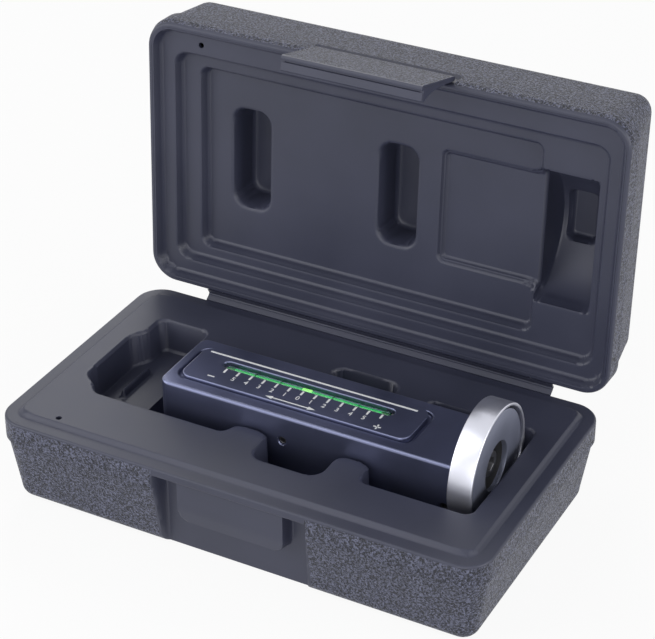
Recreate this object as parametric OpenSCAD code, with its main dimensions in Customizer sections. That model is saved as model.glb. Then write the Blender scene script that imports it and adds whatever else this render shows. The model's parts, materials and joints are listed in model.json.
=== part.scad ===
// Magnetic camber and caster gauge lying in its moulded carrying case.
// Frame: origin under the middle of the case, X along the case, -Y to the latch side, Z up.

/* [Case] */
// Length of the case
case_l = 202; // [190:1:230]
// Width of the case, hinge side to latch side
case_w = 113; // [110:1:130]
// Height of the base, floor to rim
base_h = 37.5; // [34:0.5:45]
// Height of the lid, rim to top
lid_h = 36.5; // [35:0.5:45]
// Corner radius of the rims
corner_r = 11; // [8:0.5:16]
// Wall thickness of the moulded skins
skin = 1.6; // [1:0.1:2]
// Height of the straight band below each rim
band_h = 9.5; // [6:0.5:12]
// How far the wall steps in below the band
band_step = 0.8; // [0.2:0.1:1.5]
// Draft of the outer walls in degrees
draft = 9; // [3:0.5:12]
// Rounding of the base's bottom edges
base_edge_r = 5; // [3:0.5:8]
// Rounding of the lid's top edges
lid_edge_r = 8; // [4:0.5:10]
// How far the lid's latch side bulges beyond its rim
lid_out = 1.3; // [0.4:0.1:2]
// Draft of the lid's latch side in degrees
latch_draft = 4; // [1:0.5:9]
// Height of the stand plate under the base
stand_h = 0.6; // [0.4:0.1:1.5]

/* [Tray] */
// Height of the raised deck above the rim
deck_h = 1.8; // [1:0.1:3]
// Distance of the deck's edge from the outside of the rim
deck_inset = 6; // [5:0.5:8]
// Depth of the gauge pocket below the rim
pocket_d = 21; // [20:0.5:26]
// Depth of the accessory bay below the rim
bay_d = 12.5; // [8:0.5:18]
// Side clearance between the gauge and the deck's lugs
lug_gap = 0.4; // [0.2:0.1:1]
// Length of the accessory bay left of the gauge
bay_l = 32; // [20:1:34]
// Width of the accessory bay
bay_w = 43; // [36:1:50]
// Widening of the pocket beside the gauge, per side
side_gap = 7.3; // [4:0.1:10]
// Length of the finger scoops along the gauge
scoop_l = 27; // [18:1:30]
// Width across both finger scoops
scoop_w = 68; // [60:1:80]
// Length of the magnet bay
magnet_bay_l = 43; // [36:1:48]
// Radius that the magnet bays leave round the magnet's axis
magnet_bay_r = 28; // [26:0.5:29]
// Radius of the blow vent in the deck
vent_r = 1.2; // [0.8:0.1:2]

/* [Lid liner] */
// Width of the flat rim of the lid
rim_w = 3.5; // [3:0.1:5]
// Depth of the first step
step1_d = 4; // [3:0.5:5]
// Depth of the second step
step2_d = 8; // [6:0.5:9]
// Depth of the panel
panel_d = 12; // [11.6:0.2:14]
// Depth of the square recess over the gauge body
square_d = 14.5; // [13:0.5:20]
// Depth of the two stiffening slots
slot_d = 27; // [18:1:30]
// Length of a stiffening slot, across the lid
slot_l = 41; // [30:1:50]
// Width of a stiffening slot
slot_w = 14.6; // [8:0.2:18]

/* [Hinge] */
// Length of the moulded hinge strip
hinge_l = 153; // [100:1:170]
// Sideways place of the hinge strip
hinge_x = 2; // [-8:0.5:8]
// Thickness of the hinge strip
hinge_t = 0.8; // [0.5:0.1:1.2]
// Distance of the bending line behind the rim
hinge_back = 2.4; // [1.8:0.1:4]
// Height of the bending line above the rim
hinge_up = 1.5; // [1:0.1:3]
// Angle of the open lid in degrees
lid_open = 92.6; // [60:0.2:110]

/* [Latch] */
// Sideways place of the latch
latch_x = 0.5; // [-10:0.5:10]
// Width of the latch flap
latch_w = 58; // [40:1:70]
// Thickness of the latch flap
latch_t = 2; // [1.5:0.1:2.6]
// Outward splay of the released flap in degrees
latch_splay = 12.6; // [8:0.2:20]
// Reach of the hook
hook_l = 6.2; // [5:0.1:7]
// Thickness of the hook
hook_t = 2.6; // [1.5:0.1:3]
// Width of the catch pad
pad_w = 44; // [30:1:50]
// Height of the catch pad
pad_h = 17.5; // [12:0.5:20]
// Side gap between the flap and the latch recess
recess_gap = 3.5; // [1.5:0.5:6]
// Depth of the latch recess
recess_d = 7.5; // [6.5:0.5:9]

/* [Gauge body] */
// Length of the gauge housing
body_l = 124; // [110:1:126]
// Width of the gauge housing
body_w = 34.4; // [32:0.2:36]
// Height of the gauge housing
body_h = 31; // [30:0.5:34]
// Thickness of the housing's end and bottom walls
body_t = 2.4; // [1.6:0.1:3]
// Thickness of the housing's side walls
side_t = 4.2; // [3.8:0.1:4.6]
// Distance of the housing's left end from the case's left end
body_at = 49.5; // [44:0.5:56]
// Distance of the gauge's axis from the middle of the case
gauge_y = -0.5; // [-3:0.5:3]
// Length of the end block in the housing
block_l = 8; // [6:0.5:12]

/* [Magnet] */
// Radius of the magnet cup
cup_r = 24; // [20:0.5:25]
// Length of the magnet cup
cup_l = 9.6; // [7:0.2:12]
// Wall of the magnet cup
cup_t = 1.4; // [1:0.1:3]
// Depth of the magnet's face inside the cup's lip
face_in = 0.8; // [0.3:0.1:2]
// Radius of the hole in the magnet
magnet_hole_r = 9.6; // [7:0.2:12]
// Height of the magnet's axis over the gauge's foot
axis_h = 24.4; // [24.1:0.1:26]
// Thread radius of the centre screw
centre_r = 2.5; // [2:0.25:2.9]

/* [Scales] */
// Length of a scale plate
plate_l = 96.5; // [90:0.5:104]
// Width of the camber plate
camber_plate_w = 22; // [18:0.5:26]
// Width of the caster plate
caster_plate_w = 17; // [14:0.5:18]
// Corner radius of the plates
plate_r = 4.5; // [2:0.5:6]
// Thickness of a plate
plate_t = 2.4; // [2:0.1:2.8]
// How far a plate stands proud of the housing
plate_up = 1; // [0.5:0.1:1.5]
// Thickness of the caster plate, which lies flush
caster_plate_t = 1.8; // [1.4:0.1:2.4]
// Gap between a plate and the end of its seat
plate_gap = 1.6; // [0.6:0.1:2.4]
// Length of the sight slot
sight_l = 73; // [60:1:78]
// Width of the sight slot
sight_w = 4.6; // [3:0.1:6]
// Distance of the camber vial from the gauge's axis
vial_y = 3; // [1:0.1:3.2]

/* [Vials] */
// Clearance between a vial and the sides of its sight slot
vial_gap = 0.2; // [0.15:0.05:0.4]
// Glass thickness of a vial
vial_t = 0.5; // [0.3:0.1:0.6]
// Length of a vial's end plug
plug_l = 3; // [2:0.5:6]
// Length of a bubble
bubble_l = 5; // [3:0.5:10]
// Radius of a bubble
bubble_r = 0.8; // [0.5:0.1:0.9]
// Width of the camber carrier
carrier_w = 10; // [8:0.5:11]
// Radius of the pivot screw's shank
pivot_r = 1.2; // [0.8:0.1:1.3]
// Thread radius of the pivot screw
pivot_head_r = 1.5; // [1.4:0.1:2.4]
// Distance of the pivot screw under the top of the housing
pivot_down = 10.9; // [10.6:0.1:12]

/* [Hidden] */
$fn = 64;

eps = 0.01;
fit_gap = 0.05;       // running fit of turning pieces
air = 0.3;            // clearance of pieces that only pass each other
hull_fn = 40;

plastic = [0.27, 0.28, 0.33];
plastic_dark = [0.20, 0.21, 0.25];
navy = [0.13, 0.15, 0.24];
steel = [0.80, 0.80, 0.82];

rim_z = base_h;
body_x0 = body_at - case_l / 2;
body_x1 = body_x0 + body_l;
foot_z = rim_z - pocket_d;
body_top = foot_z + body_h;
axis_z = foot_z + axis_h;
mid_x = body_x0 + body_l / 2 - 8.5;
hinge_y = case_w / 2 + hinge_back;
hinge_z = rim_z + hinge_up;

vial_r = sight_w / 2 - vial_gap;
vial_l = sight_l - 4;
carrier_l = vial_l + 9;
opening_l = vial_l + 13;

// ---------- shared shapes ----------

// Rounded rectangle, centred
module rrect(l, w, r) {
    square([l - 2 * r, w], center = true);
    square([l, w - 2 * r], center = true);
    for (x = [-1, 1], y = [-1, 1])
        translate([x * (l / 2 - r), y * (w / 2 - r)]) circle(r);
}

// Rounded rectangle between two corners
module rrect_from(x0, x1, y0, y1, r) {
    translate([(x0 + x1) / 2, (y0 + y1) / 2]) rrect(x1 - x0, y1 - y0, r);
}

// A slab of the case's plan, drawn in by inset and let out by out on the latch side, from z to z + h
module plan_slab(inset, z, h, out = 0) {
    translate([0, -out / 2, z]) linear_extrude(h)
        rrect(case_l - 2 * inset, case_w - 2 * inset + out, max(corner_r - inset, 1));
}

// Inset of the drafted wall at depth d below the rim
function wall_inset(d) = band_step + (d - band_h) * tan(draft);

// One half of the case as a solid: rim at z = 0, closed side at z = -h.
// t = 0 is the outside, t = skin the inside. out lets the latch side bulge.
module case_half(h, edge_r, t, out) {
    depth = h - t;
    r = max(edge_r - t, 1);
    steep = out > 0 ? tan(draft) - tan(latch_draft) : 0;
    $fn = hull_fn;
    translate([0, 0, -band_h]) plan_slab(t, 0, band_h + (t > 0 ? 1 : 0));
    if (out > 0) hull() {
        plan_slab(t, -band_h, band_h - 1.8, out);
        plan_slab(t, -0.4, 0.4);
    }
    hull() {
        plan_slab(wall_inset(band_h) + t, -band_h - eps, eps, out);
        for (a = [draft : (90 - draft) / 5 : 90]) {
            d = depth - r + r * sin(a);
            i = wall_inset(depth - r) + r * (1 - cos(a)) * 0.9 + t;
            plan_slab(i, -d, eps, out + steep * (depth - r - band_h));
        }
    }
}

// Puts children drawn for the closed lid into the open lid's place
module lid_pose() {
    translate([0, hinge_y, hinge_z]) rotate([-lid_open, 0, 0])
        translate([0, -hinge_y, -hinge_z]) children();
}

// Turns a lid half drawn with its rim at z = 0 and its back down into the closed place
module over_rim() {
    translate([0, 0, rim_z]) mirror([0, 0, 1]) children();
}

// Moves children from the gauge's frame (axis along X at the origin) to the pocket
module at_gauge() {
    translate([0, gauge_y, 0]) children();
}

// Screw with a round head and a hex socket, shank along +Z from its head's underside
module socket_screw(r, l, head_r, head_h, key) {
    translate([0, 0, -eps]) cylinder(r = r, h = l + eps);
    translate([0, 0, -head_h]) difference() {
        cylinder(r = head_r, h = head_h);
        translate([0, 0, -eps]) cylinder(r = key / 2 / cos(30), h = head_h * 0.6, $fn = 6);
    }
}

// Hollow glass tube along X, centred
module vial_tube() {
    rotate([0, 90, 0]) difference() {
        cylinder(r = vial_r, h = vial_l, center = true);
        cylinder(r = vial_r - vial_t, h = vial_l + 2, center = true);
    }
}

module vial_plugs() {
    for (s = [-1, 1])
        translate([s * (vial_l - plug_l) / 2, 0, 0]) rotate([0, 90, 0])
            cylinder(r = vial_r - vial_t, h = plug_l, center = true);
}

bubble_up = vial_r - vial_t - bubble_r - fit_gap - 0.2;

// Spirit filling, with the channel along its top in which the bubble travels
module vial_fluid() {
    difference() {
        rotate([0, 90, 0]) cylinder(r = vial_r - vial_t, h = vial_l - 2 * plug_l, center = true);
        translate([0, 0, bubble_up]) rotate([0, 90, 0])
            cylinder(r = bubble_r + fit_gap, h = vial_l - 2 * plug_l - 2, center = true);
    }
}

module bubble() {
    translate([0, 0, bubble_up]) {
        rotate([0, 90, 0]) cylinder(r = bubble_r, h = bubble_l - 2 * bubble_r, center = true);
        for (s = [-1, 1]) translate([s * (bubble_l / 2 - bubble_r), 0, 0]) sphere(bubble_r);
    }
}

// ---------- case base ----------

recess_w = latch_w + 2 * recess_gap;
recess_top = 2 * skin;
pad_top = recess_top + 0.8;
pad_front = 1.8;
flap_gap = 0.3;

// Solid that fills the latch recess, grown by g
module latch_recess(g) {
    translate([latch_x - recess_w / 2 - g, -case_w / 2 - 5, -1])
        cube([recess_w + 2 * g, 5 + recess_d + g, rim_z - recess_top + 1 + g]);
}

module catch_pad() {
    translate([latch_x, -case_w / 2 + recess_d + eps, rim_z - pad_top])
        rotate([90, 0, 0]) linear_extrude(recess_d - pad_front) translate([0, -pad_h / 2]) rrect(pad_w, pad_h, 5);
    translate([latch_x - pad_w / 2, -case_w / 2 + pad_front, rim_z - pad_top - 6])
        cube([pad_w, recess_d - pad_front, 6]);
}

module base_shell() {
    color(plastic) {
        difference() {
            translate([0, 0, rim_z]) case_half(base_h - stand_h, base_edge_r, 0, 0);
            difference() {
                translate([0, 0, rim_z]) case_half(base_h - stand_h, base_edge_r, skin, 0);
                latch_recess(skin);
            }
            latch_recess(0);
        }
        catch_pad();
        stand_plate();
    }
}

module stand_plate() {
    i = wall_inset(base_h - stand_h - base_edge_r) + base_edge_r;
    y0 = -case_w / 2 + max(i, recess_d) + 1;
    linear_extrude(stand_h + eps) rrect_from(-case_l / 2 + i + 1, case_l / 2 - i - 1, y0, case_w / 2 - i - 1, 4);
}

bay_y = gauge_y + body_w / 2 + side_gap;
bay_back = case_w / 2 - 24.7;

// Plan of the accessory bay in the deck, grown by g
module bay_plan(g) {
    y = gauge_y;
    rrect_from(body_x0 - bay_l - 1 - g, body_x0 - 2.5 + g, y - bay_w / 2 + 4 - g, y + bay_w / 2 - 3 + g, 5);
    rrect_from(body_x0 - bay_l + 6 - g, body_x0 - 2.5 + g, y - bay_w / 2 - 3 - g, y + g, 5);
    rrect_from(body_x0 - bay_l + 3 - g, body_x0 - 8 + g, y - 10 - g, bay_back + g, 3);
}

// Plan of the gauge's pocket in the deck, grown by g
module pocket_plan(g) {
    y = gauge_y;
    rrect_from(body_x0 - 8 - g, body_x1 + 8 + g, y - body_w / 2 - lug_gap - g, y + body_w / 2 + lug_gap + g, 1.5);
    rrect_from(body_x0 - 10 - g, body_x0 + 33 + g, -bay_y + 2 * y - g, bay_y + g, 3);
    rrect_from(mid_x - scoop_l / 2 + 10 - g, mid_x + scoop_l / 2 + 10 + g, y - scoop_w / 2 - g, y + scoop_w / 2 + g, 5);
    rrect_from(body_x1 + cup_l + 1.8 - magnet_bay_l - g, body_x1 + cup_l + 1.8 + g,
        y - magnet_bay_r - 1 - g, y + magnet_bay_r + 1 + g, 3);
}

module base_tray() {
    color(plastic_dark) difference() {
        union() {
            plan_slab(skin, rim_z - skin, skin);
            plan_slab(deck_inset, rim_z, deck_h);
            translate([0, 0, foot_z - skin]) linear_extrude(pocket_d + skin) pocket_plan(skin);
            translate([0, 0, rim_z - bay_d - skin]) linear_extrude(bay_d + skin) bay_plan(skin);
        }
        translate([0, 0, foot_z]) linear_extrude(pocket_d + deck_h + 1) pocket_plan(0);
        translate([0, 0, rim_z - bay_d]) linear_extrude(bay_d + deck_h + 1) bay_plan(0);
        translate([-case_l / 2 + 23.5, -case_w / 2 + 9.5, rim_z - skin - 1]) cylinder(r = vent_r, h = skin + deck_h + 2);
    }
    color(plastic_dark) translate([body_x0 - bay_l + 7.5, gauge_y + 4, rim_z - bay_d - eps])
        linear_extrude(3.5) rrect(2.4, 20, 1.1);
}

// ---------- hinge ----------

leaf_gap = 0.06;

// Section of one leaf, from the rim edge to the bending line; s = 1 above, -1 below
module leaf_plan(s) {
    polygon([
        [0, s * leaf_gap], [hinge_back, hinge_up + s * leaf_gap],
        [hinge_back, hinge_up + s * (leaf_gap + hinge_t)], [0, s * (leaf_gap + hinge_t)]
    ]);
}

module leaf(s) {
    translate([hinge_x - hinge_l / 2, case_w / 2, rim_z]) rotate([90, 0, 90]) linear_extrude(hinge_l) leaf_plan(s);
}

module base_hinge_leaf() {
    color(plastic) leaf(-1);
}

module lid_hinge_leaf() {
    color(plastic) lid_pose() leaf(1);
}

// ---------- lid ----------

module lid_shell() {
    color(plastic) lid_pose() difference() {
        over_rim() difference() {
            case_half(lid_h, lid_edge_r, 0, lid_out);
            case_half(lid_h, lid_edge_r, skin, lid_out);
        }
        translate([latch_x - latch_w / 2 - 1, -case_w / 2 - lid_out - 1, rim_z - 1])
            cube([latch_w + 2, lid_out + 1, latch_up + latch_t + 2]);
    }
    color(plastic) lid_pose() translate([latch_x - latch_w / 2 - 1, -case_w / 2, rim_z])
        cube([latch_w + 2, skin, latch_up + latch_t + 2]);
}

// Plans of the liner's steps in the closed lid, grown by g
module step1_plan(g) {
    rrect(case_l - 2 * rim_w + 2 * g, case_w - 2 * rim_w + 2 * g, corner_r - rim_w);
}

module step2_plan(g) {
    rrect_from(-case_l / 2 + 11 - g, case_l / 2 - 10 + g, -case_w / 2 + 13.5 - g, case_w / 2 - 10.5 + g, 5);
}

module panel_plan(g) {
    rrect_from(-case_l / 2 + 20.5 - g, case_l / 2 - 37.2 + g, -case_w / 2 + 19.5 - g, case_w / 2 - 16.5 + g, 1.5);
}

// Edges of the square recess, from the end and the middle line of the gauge's housing
square_left = 49;
square_right = 8.6;
square_front = 23;
square_back = 22.5;

module square_plan(g) {
    rrect_from(body_x1 - square_left - g, body_x1 - square_right + g, gauge_y - square_front - g,
        gauge_y + square_back + g, 1.5);
}

// Room for the end of the gauge's housing between the panel and the magnet's room
module body_end_plan(g) {
    rrect_from(body_x1 - 12 - g, magnet_room_x0 + 3 + g,
        gauge_y - body_w / 2 - 2 - g, gauge_y + body_w / 2 + 2 + g, 1);
}

module slots_plan(g) {
    for (x = [body_x0 - 16.4, mid_x - 5])
        rrect_from(x - g, x + slot_w + g, gauge_y - slot_l / 2 - g, gauge_y + slot_l / 2 + g, 4);
}

magnet_room_x0 = body_x1 - 7;
magnet_room_l = 21;

// Round room over the magnet in the closed lid, grown by g
module magnet_room(g) {
    translate([magnet_room_x0 - g, gauge_y, axis_z - rim_z]) rotate([0, 90, 0])
        cylinder(r = magnet_bay_r + g, h = magnet_room_l + 2 * g);
}

// Deepest pocket in the magnet's room
module magnet_sub_pocket(g) {
    translate([magnet_room_x0 + 3.5 - g, gauge_y - 11 - g, 20])
        cube([10.5 + 2 * g, 20 + 2 * g, lid_h - skin - 20 - (g > 0 ? 0 : 0.8)]);
}

// What the liner leaves open (g = 0), or that space with its wall (g = skin)
module liner_space(g) {
    translate([0, 0, -1]) {
        linear_extrude(1 + step1_d + g) step1_plan(g);
        linear_extrude(1 + step2_d + g) step2_plan(g);
        linear_extrude(1 + panel_d + g) panel_plan(g);
        linear_extrude(1 + panel_d + g) body_end_plan(g);
        linear_extrude(1 + square_d + g) square_plan(g);
        linear_extrude(1 + slot_d + g) slots_plan(g);
    }
    magnet_room(g);
    magnet_sub_pocket(g);
}

module lid_liner() {
    color(plastic_dark) lid_pose() translate([0, 0, rim_z]) difference() {
        intersection() {
            union() {
                plan_slab(skin, 0, skin);
                liner_space(skin);
            }
            plan_slab(skin, 0, lid_h - skin);
        }
        liner_space(0);
        translate([-case_l / 2 + 22, -case_w / 2 + 8, 0]) cylinder(r = vent_r, h = step1_d + skin + 1);
    }
}

// ---------- latch ----------

latch_y = -case_w / 2 - flap_gap - latch_t / 2;
latch_up = 3.5;
latch_l = latch_up + pad_top + pad_h + 0.5 + hook_t;

// Flap hanging straight down from its bending line at the origin
module flap() {
    w = latch_w;
    translate([-w / 2, 0, 0]) rotate([0, 90, 0]) cylinder(r = latch_t / 2, h = w);
    translate([-w / 2, -latch_t / 2, -latch_l]) cube([w, latch_t, latch_l]);
    translate([-w / 2, -latch_t / 2, -latch_l]) cube([w, hook_l, hook_t]);
    for (x = [-w / 2, w / 2 - 1.5])
        translate([x, 0, 0]) rotate([90, 0, 90]) linear_extrude(1.5)
            polygon([[0, -latch_l + 0.1], [hook_l - latch_t / 2, -latch_l + 0.1],
                [hook_l - latch_t / 2, -latch_l + hook_t], [latch_t / 2, -latch_up - 5], [0, -latch_up - 5]]);
}

module latch_flap() {
    color(plastic) lid_pose() translate([latch_x, latch_y, rim_z + latch_up]) rotate([-latch_splay, 0, 0]) flap();
}

// ---------- gauge housing ----------

cavity_z0 = foot_z + body_t;
cavity_z1 = body_top - plate_t + plate_up - 1.4;
inner_w = body_w - 2 * side_t;
caster_z = foot_z + 10.2;

// Block of the housing's outside
module housing_block() {
    intersection() {
        translate([body_x0, 0, foot_z + body_h / 2]) rotate([90, 0, 90])
            linear_extrude(body_l) rrect(body_w, body_h, 1.2);
        translate([body_x0 + 4 + body_l / 2, 0, foot_z]) linear_extrude(body_h) rrect(body_l + 8, body_w, 4);
    }
}

module housing_cavity() {
    translate([body_x0 + body_t, -inner_w / 2, cavity_z0]) cube([body_l, inner_w, cavity_z1 - cavity_z0]);
}

// Seat of a plate in the housing's wall, drawn lying flat: the seat is deep, and its opening lets the vial in
module plate_seat(w, deep) {
    translate([0, 0, -deep]) linear_extrude(deep + 1) rrect(plate_l + 2 * plate_gap, w + 2 * air, plate_r);
    translate([0, 0, -side_t - 1]) linear_extrude(side_t + 1) rrect(opening_l, w - 4, 2);
}

// Places of the two scales: camber on top, caster on the back
module on_top() {
    translate([mid_x, 0, body_top]) children();
}

module on_back() {
    translate([mid_x, body_w / 2, caster_z]) rotate([-90, 0, 0]) children();
}

module gauge_housing() {
    color(navy) at_gauge() difference() {
        housing_block();
        housing_cavity();
        on_top() plate_seat(camber_plate_w, plate_t - plate_up);
        on_back() plate_seat(caster_plate_w, caster_plate_t);
        translate([mid_x, -body_w / 2 - 1, pivot_z]) rotate([-90, 0, 0])
            cylinder(r = pivot_head_r + fit_gap, h = side_t + 2);
        translate([body_x0 + body_t, -inner_w / 2, foot_z - 1]) cube([body_l - body_t - block_l, inner_w, body_t + 2]);
        end_screw_places() cylinder(r = 1.6 + fit_gap, h = 12);
    }
    color(navy) at_gauge() foot_plate_places() translate([0, 0, foot_plate_t]) difference() {
        cylinder(r = 3.2, h = 6);
        translate([0, 0, -1]) cylinder(r = 1.5, h = 8);
    }
}

// ---------- end block and magnet ----------

module end_screw_places() {
    for (s = [-1, 1])
        translate([body_x1 - block_l / 2, s * (body_w / 2 + 1), foot_z + body_h / 2 - 3]) rotate([90 * s, 0, 0]) children();
}

// Set screws that hold the end block, in holes from the housing's outside
end_screw_r = 1.6;
end_screw_l = 7;
end_screw_in = 1.6;
end_screw_hole = 9;
end_socket_r = 1;
end_socket_d = 2;

module end_block() {
    color("dimgray") at_gauge() difference() {
        translate([body_x1 - block_l, -inner_w / 2, cavity_z0]) cube([block_l, inner_w, cavity_z1 - cavity_z0]);
        translate([body_x1 - block_l - 1, 0, axis_z]) rotate([0, 90, 0]) cylinder(r = centre_r, h = block_l + 2);
        end_screw_places() cylinder(r = end_screw_r, h = end_screw_hole);
    }
}

module end_block_screws() {
    color(steel) at_gauge() end_screw_places() translate([0, 0, end_screw_in]) difference() {
        cylinder(r = end_screw_r, h = end_screw_l);
        translate([0, 0, -eps]) cylinder(r = end_socket_r / cos(30), h = end_socket_d, $fn = 6);
    }
}

module along_axis(x) {
    at_gauge() translate([x, 0, axis_z]) rotate([0, 90, 0]) children();
}

cup_floor = 2;
magnet_t = 4.6;
pole_t = cup_l - cup_floor - magnet_t - face_in;

module magnet_cup() {
    color(steel) along_axis(body_x1) difference() {
        cylinder(r = cup_r, h = cup_l);
        translate([0, 0, cup_floor]) cylinder(r = cup_r - cup_t, h = cup_l);
        translate([0, 0, -1]) cylinder(r = centre_r + 0.2, h = cup_l);
    }
}

module ring_magnet() {
    color("dimgray") along_axis(body_x1 + cup_floor) difference() {
        cylinder(r = cup_r - cup_t - air, h = magnet_t);
        translate([0, 0, -1]) cylinder(r = magnet_hole_r + 0.6, h = magnet_t + 2);
    }
}

module pole_ring() {
    color([0.45, 0.47, 0.55]) along_axis(body_x1 + cup_floor + magnet_t) difference() {
        cylinder(r = cup_r - cup_t - 0.6, h = pole_t);
        translate([0, 0, -1]) cylinder(r = magnet_hole_r, h = pole_t + 2);
    }
}

washer_t = 1.2;

module centre_screw() {
    color(steel) along_axis(body_x1 + cup_floor + washer_t) mirror([0, 0, 1])
        socket_screw(centre_r - fit_gap, cup_floor + washer_t + block_l - 0.5, 5, 3.4, 5);
}

module spring_washer() {
    color(steel) along_axis(body_x1 + cup_floor) difference() {
        cylinder(r = 5.6, h = washer_t);
        translate([0, 0, -1]) cylinder(r = centre_r + 0.2, h = washer_t + 2);
    }
}

// ---------- foot plate ----------

module foot_plate_places() {
    for (x = [body_x0 + body_t + 2, body_x1 - block_l - 6], s = [-1, 1])
        translate([x, s * (inner_w / 2 - 2.5), foot_z]) children();
}

foot_plate_t = 1.6;

module gauge_foot_plate() {
    w = inner_w - 2 * fit_gap;
    color(navy) at_gauge() difference() {
        translate([body_x0 + body_t + fit_gap, -w / 2, foot_z])
            cube([body_l - body_t - block_l - 2 * fit_gap, w, foot_plate_t]);
        foot_plate_places() translate([0, 0, -1]) cylinder(r = 1.5, h = foot_plate_t + 2);
    }
}

foot_screw_r = 1.45;
foot_screw_l = 5.5;
foot_screw_in = 0.4;
foot_socket_r = 0.9;
foot_socket_d = 1.2;

module foot_plate_screws() {
    color(steel) at_gauge() foot_plate_places() translate([0, 0, foot_screw_in]) difference() {
        cylinder(r = foot_screw_r, h = foot_screw_l);
        translate([0, 0, -eps]) cylinder(r = foot_socket_r / cos(30), h = foot_socket_d, $fn = 6);
    }
}

// ---------- camber scale ----------

vial_down = plate_t - plate_up + 0.35;
pivot_z = body_top - pivot_down;

// A scale plate of thickness t, its top up above the housing
module scale_plate(w, slot_y, t, up) {
    translate([0, 0, up - t]) difference() {
        linear_extrude(t) rrect(plate_l, w, plate_r);
        translate([0, slot_y, -1]) linear_extrude(t + 2) rrect(sight_l, sight_w, sight_w / 2 - 0.01);
    }
}

module camber_plate() {
    color(navy) at_gauge() on_top() scale_plate(camber_plate_w, vial_y, plate_t, plate_up);
}

// Trough that holds a vial, drawn with the vial's axis at the origin
module carrier(l, w, below) {
    difference() {
        translate([-l / 2, -w / 2, -below]) cube([l, w, below]);
        rotate([0, 90, 0]) cylinder(r = vial_r + fit_gap, h = vial_l + 0.4, center = true);
        translate([-backing_l / 2 - 0.2, -backing_w / 2 - 0.1, -vial_r - 0.5]) cube([backing_l + 0.4, backing_w + 0.2, vial_r]);
    }
}

backing_l = vial_l - 6;
backing_w = 2.4;

// Bright strip that lies in the carrier under a vial
module backing() {
    translate([-backing_l / 2, -backing_w / 2, -vial_r - 0.5]) cube([backing_l, backing_w, 0.4]);
}

module at_camber_vial() {
    at_gauge() translate([mid_x, vial_y, body_top - vial_down]) children();
}

carrier_below = 12;

module camber_carrier() {
    color("whitesmoke") difference() {
        at_camber_vial() carrier(carrier_l, carrier_w, carrier_below);
        at_gauge() translate([mid_x, vial_y - carrier_w / 2 - 1, pivot_z]) rotate([-90, 0, 0])
            cylinder(r = pivot_r + fit_gap, h = 6);
    }
}

module camber_backing() {
    color("limegreen") at_camber_vial() backing();
}

module camber_vial_tube() {
    color([0.75, 0.95, 0.85, 0.5]) at_camber_vial() vial_tube();
}

module camber_vial_plugs() {
    color("white") at_camber_vial() vial_plugs();
}

module camber_vial_fluid() {
    color([0.1, 0.8, 0.35, 0.6]) at_camber_vial() vial_fluid();
}

module camber_bubble() {
    color("palegreen") at_camber_vial() bubble();
}

// Screw on which the camber carrier pivots, reached through the front of the housing
module carrier_pivot_screw() {
    color(steel) at_gauge() translate([mid_x, -inner_w / 2, pivot_z]) rotate([-90, 0, 0])
        socket_screw(pivot_r, inner_w / 2 + vial_y - carrier_w / 2 + 4, pivot_head_r, side_t - 0.6, 1.8);
}

// ---------- caster scale ----------

module caster_plate() {
    color(navy) at_gauge() on_back() scale_plate(caster_plate_w, 0, caster_plate_t, 0);
}

caster_down = caster_plate_t + 0.6;
caster_carrier_l = vial_l + 11;
caster_carrier_w = 10.6;
caster_below = 6.4;

module at_caster_vial() {
    at_gauge() on_back() translate([0, 0, -caster_down]) children();
}

// Lugs at the caster carrier's ends, and the screws through them into the plate
caster_lug_l = 5;
caster_hole_r = 1.2;
caster_hole_d = 20;
caster_head_r = 2.2;
caster_head_h = 1;
caster_shank_r = 1.15;
caster_socket_r = 0.75;
caster_socket_d = 0.8;

module caster_carrier() {
    color("whitesmoke") at_caster_vial() {
        difference() {
            union() {
                carrier(caster_carrier_l, caster_carrier_w, caster_below);
                for (s = [-1, 1])
                    translate([s * (caster_carrier_l - caster_lug_l) / 2 - caster_lug_l / 2, -caster_carrier_w / 2, -eps])
                        cube([caster_lug_l, caster_carrier_w, caster_down - caster_plate_t + eps]);
            }
            caster_screw_places() cylinder(r = caster_hole_r, h = caster_hole_d);
        }
    }
}

module caster_screw_places() {
    for (s = [-1, 1]) translate([s * (caster_carrier_l / 2 - 2.5), 0, -caster_below - 1]) children();
}

module caster_carrier_screws() {
    color(steel) at_caster_vial() caster_screw_places() difference() {
        union() {
            cylinder(r = caster_head_r, h = caster_head_h);
            translate([0, 0, caster_head_h - eps]) cylinder(r = caster_shank_r, h = caster_below + caster_down - caster_plate_t + eps);
        }
        translate([0, 0, -eps]) cylinder(r = caster_socket_r, h = caster_socket_d, $fn = 6);
    }
}

module caster_backing() {
    color("limegreen") at_caster_vial() backing();
}

module caster_vial_tube() {
    color([0.75, 0.95, 0.85, 0.5]) at_caster_vial() vial_tube();
}

module caster_vial_plugs() {
    color("white") at_caster_vial() vial_plugs();
}

// The caster bubble rests at the top of its tube, which lies on its side here
module caster_vial_fluid() {
    color([0.1, 0.8, 0.35, 0.6]) at_caster_vial() rotate([90, 0, 0]) vial_fluid();
}

module caster_bubble() {
    color("palegreen") at_caster_vial() rotate([90, 0, 0]) bubble();
}

base_shell();
base_tray();
base_hinge_leaf();
lid_shell();
lid_liner();
lid_hinge_leaf();
latch_flap();
gauge_housing();
end_block();
end_block_screws();
gauge_foot_plate();
foot_plate_screws();
magnet_cup();
ring_magnet();
pole_ring();
centre_screw();
spring_washer();
camber_plate();
camber_carrier();
camber_backing();
camber_vial_tube();
camber_vial_plugs();
camber_vial_fluid();
camber_bubble();
carrier_pivot_screw();
caster_plate();
caster_carrier();
caster_carrier_screws();
caster_backing();
caster_vial_tube();
caster_vial_plugs();
caster_vial_fluid();
caster_bubble();
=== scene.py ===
import json
import math

import bmesh
import bpy
import numpy as np
from mathutils import Matrix, Vector


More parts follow.
